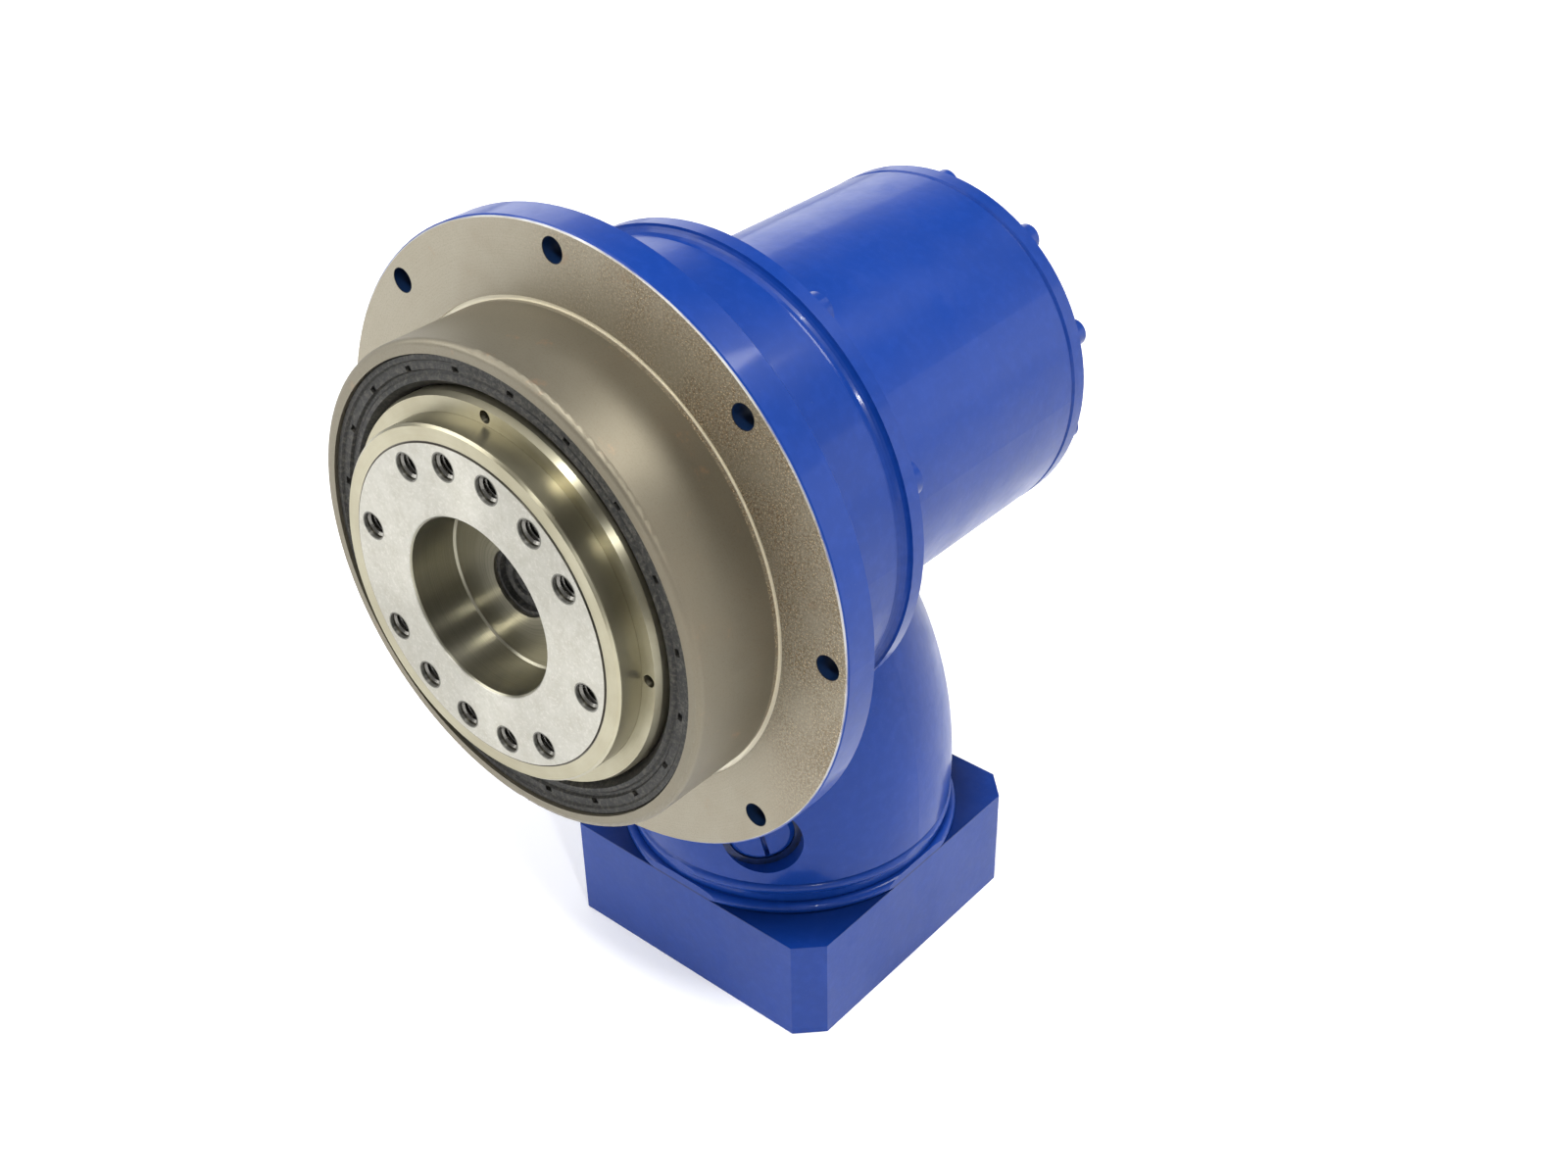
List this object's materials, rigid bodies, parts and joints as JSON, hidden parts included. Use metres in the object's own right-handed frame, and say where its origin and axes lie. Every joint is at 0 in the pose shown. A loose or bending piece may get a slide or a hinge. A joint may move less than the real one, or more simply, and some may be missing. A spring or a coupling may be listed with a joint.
{
  "type": "right-angle planetary gear reducer",
  "caption": "Right-angle servo gear reducer: bevel stage under a planetary stage, flange output with a centring bore, round mounting flange and square motor adapter.",
  "frame": {"origin": "where the output axis crosses the mating face of the round mounting flange", "axes": "-Y out of the output face along the output axis, -Z out of the motor adapter along the input axis, +X completes the right-handed frame"},
  "size_m": [0.145, 0.158, 0.2145],
  "materials": {
    "housing_paint": "satin blue enamel over aluminium",
    "screw_paint": "satin blue enamel over steel",
    "black_screw": "black oxide",
    "ground_steel": "ground and turned",
    "gear_steel": "hardened and ground",
    "bearing_steel": "polished",
    "turned_steel": "turned",
    "dark_steel": "burnished",
    "bronze": "machined",
    "seal_rubber": "moulded nitrile rubber",
    "plug_rubber": "moulded nitrile rubber"
  },
  "bodies": {
    "housing": {"front_housing": "housing_paint", "ring_gear": "gear_steel", "output_seal": "seal_rubber", "front_bearing_outer_race": "bearing_steel", "rear_bearing_outer_race": "bearing_steel", "housing_o_ring": "seal_rubber", "bevel_housing": "housing_paint", "housing_screws": "screw_paint", "wheel_front_bearing_outer_race": "bearing_steel", "wheel_rear_bearing_outer_race": "bearing_steel", "wheel_bearing_circlip": "dark_steel", "pinion_upper_bearing_outer_race": "bearing_steel", "pinion_lower_bearing_outer_race": "bearing_steel", "pinion_outer_spacer": "turned_steel", "pinion_bearing_circlip": "dark_steel", "input_seal": "seal_rubber", "rear_cover": "housing_paint", "cover_o_ring": "seal_rubber", "cover_screws": "screw_paint", "motor_adapter": "housing_paint", "adapter_screws": "black_screw"},
    "output": {"output_flange": "ground_steel", "planet_pins": "bearing_steel", "planet_washers": "bronze", "front_bearing_inner_race": "bearing_steel", "rear_bearing_inner_race": "bearing_steel", "bearing_nut": "dark_steel", "bore_plug": "plug_rubber"},
    "planet_1": {"planet_gear_1": "gear_steel", "planet_rollers_1": "bearing_steel"},
    "planet_2": {"planet_gear_2": "gear_steel", "planet_rollers_2": "bearing_steel"},
    "planet_3": {"planet_gear_3": "gear_steel", "planet_rollers_3": "bearing_steel"},
    "sun": {"sun_shaft": "gear_steel", "bevel_wheel": "gear_steel", "wheel_key": "dark_steel", "wheel_front_bearing_inner_race": "bearing_steel", "wheel_rear_bearing_inner_race": "bearing_steel", "wheel_spacer": "turned_steel", "shaft_nut": "dark_steel"},
    "input": {"bevel_pinion": "gear_steel", "pinion_upper_bearing_inner_race": "bearing_steel", "pinion_lower_bearing_inner_race": "bearing_steel", "pinion_inner_spacer": "turned_steel", "pinion_nut": "dark_steel", "clamping_hub": "turned_steel", "hub_key": "dark_steel", "hub_clamp_screw": "black_screw"},
    "front_cage": {"front_bearing_balls": "bearing_steel", "front_bearing_cage": "bronze"},
    "rear_cage": {"rear_bearing_balls": "bearing_steel", "rear_bearing_cage": "bronze"},
    "wheel_cages": {"wheel_bearing_balls": "bearing_steel", "wheel_bearing_cages": "bronze"},
    "pinion_cages": {"pinion_bearing_balls": "bearing_steel", "pinion_bearing_cages": "bronze"},
    "access_plug": {"access_plug": "housing_paint", "access_plug_o_ring": "seal_rubber"}
  },
  "joints": [
    {"name": "output_spin", "type": "hinge", "parent": "housing", "child": "output", "pos_m": [0, 0, 0], "axis": [0, 1, 0], "continuous": true},
    {"name": "planet_1_spin", "type": "hinge", "parent": "output", "child": "planet_1", "pos_m": [0, 0, 0.02813], "axis": [0, 1, 0], "continuous": true},
    {"name": "planet_2_spin", "type": "hinge", "parent": "output", "child": "planet_2", "pos_m": [-0.02436, 0, -0.01406], "axis": [0, 1, 0], "continuous": true},
    {"name": "planet_3_spin", "type": "hinge", "parent": "output", "child": "planet_3", "pos_m": [0.02436, 0, -0.01406], "axis": [0, 1, 0], "continuous": true},
    {"name": "sun_spin", "type": "hinge", "parent": "housing", "child": "sun", "pos_m": [0, 0, 0], "axis": [0, 1, 0], "continuous": true},
    {"name": "input_spin", "type": "hinge", "parent": "housing", "child": "input", "pos_m": [0, 0.066, 0], "axis": [0, 0, 1], "continuous": true},
    {"name": "front_cage_spin", "type": "hinge", "parent": "housing", "child": "front_cage", "pos_m": [0, 0, 0], "axis": [0, 1, 0], "continuous": true},
    {"name": "rear_cage_spin", "type": "hinge", "parent": "housing", "child": "rear_cage", "pos_m": [0, 0, 0], "axis": [0, 1, 0], "continuous": true},
    {"name": "wheel_cages_spin", "type": "hinge", "parent": "housing", "child": "wheel_cages", "pos_m": [0, 0, 0], "axis": [0, 1, 0], "continuous": true},
    {"name": "pinion_cages_spin", "type": "hinge", "parent": "housing", "child": "pinion_cages", "pos_m": [0, 0.066, 0], "axis": [0, 0, 1], "continuous": true},
    {"name": "access_plug_pull", "type": "slide", "parent": "housing", "child": "access_plug", "axis": [0.7071, -0.7071, 0], "range_m": [0, 0.03]}
  ],
  "couplings": [
    {"joint": "planet_1_spin", "follows": "output_spin", "ratio": -2.6667},
    {"joint": "planet_2_spin", "follows": "output_spin", "ratio": -2.6667},
    {"joint": "planet_3_spin", "follows": "output_spin", "ratio": -2.6667},
    {"joint": "sun_spin", "follows": "output_spin", "ratio": 5},
    {"joint": "input_spin", "follows": "output_spin", "ratio": 15},
    {"joint": "front_cage_spin", "follows": "output_spin", "ratio": 0.45665},
    {"joint": "rear_cage_spin", "follows": "output_spin", "ratio": 0.46364},
    {"joint": "wheel_cages_spin", "follows": "output_spin", "ratio": 2.0556},
    {"joint": "pinion_cages_spin", "follows": "output_spin", "ratio": 6.0484}
  ]
}
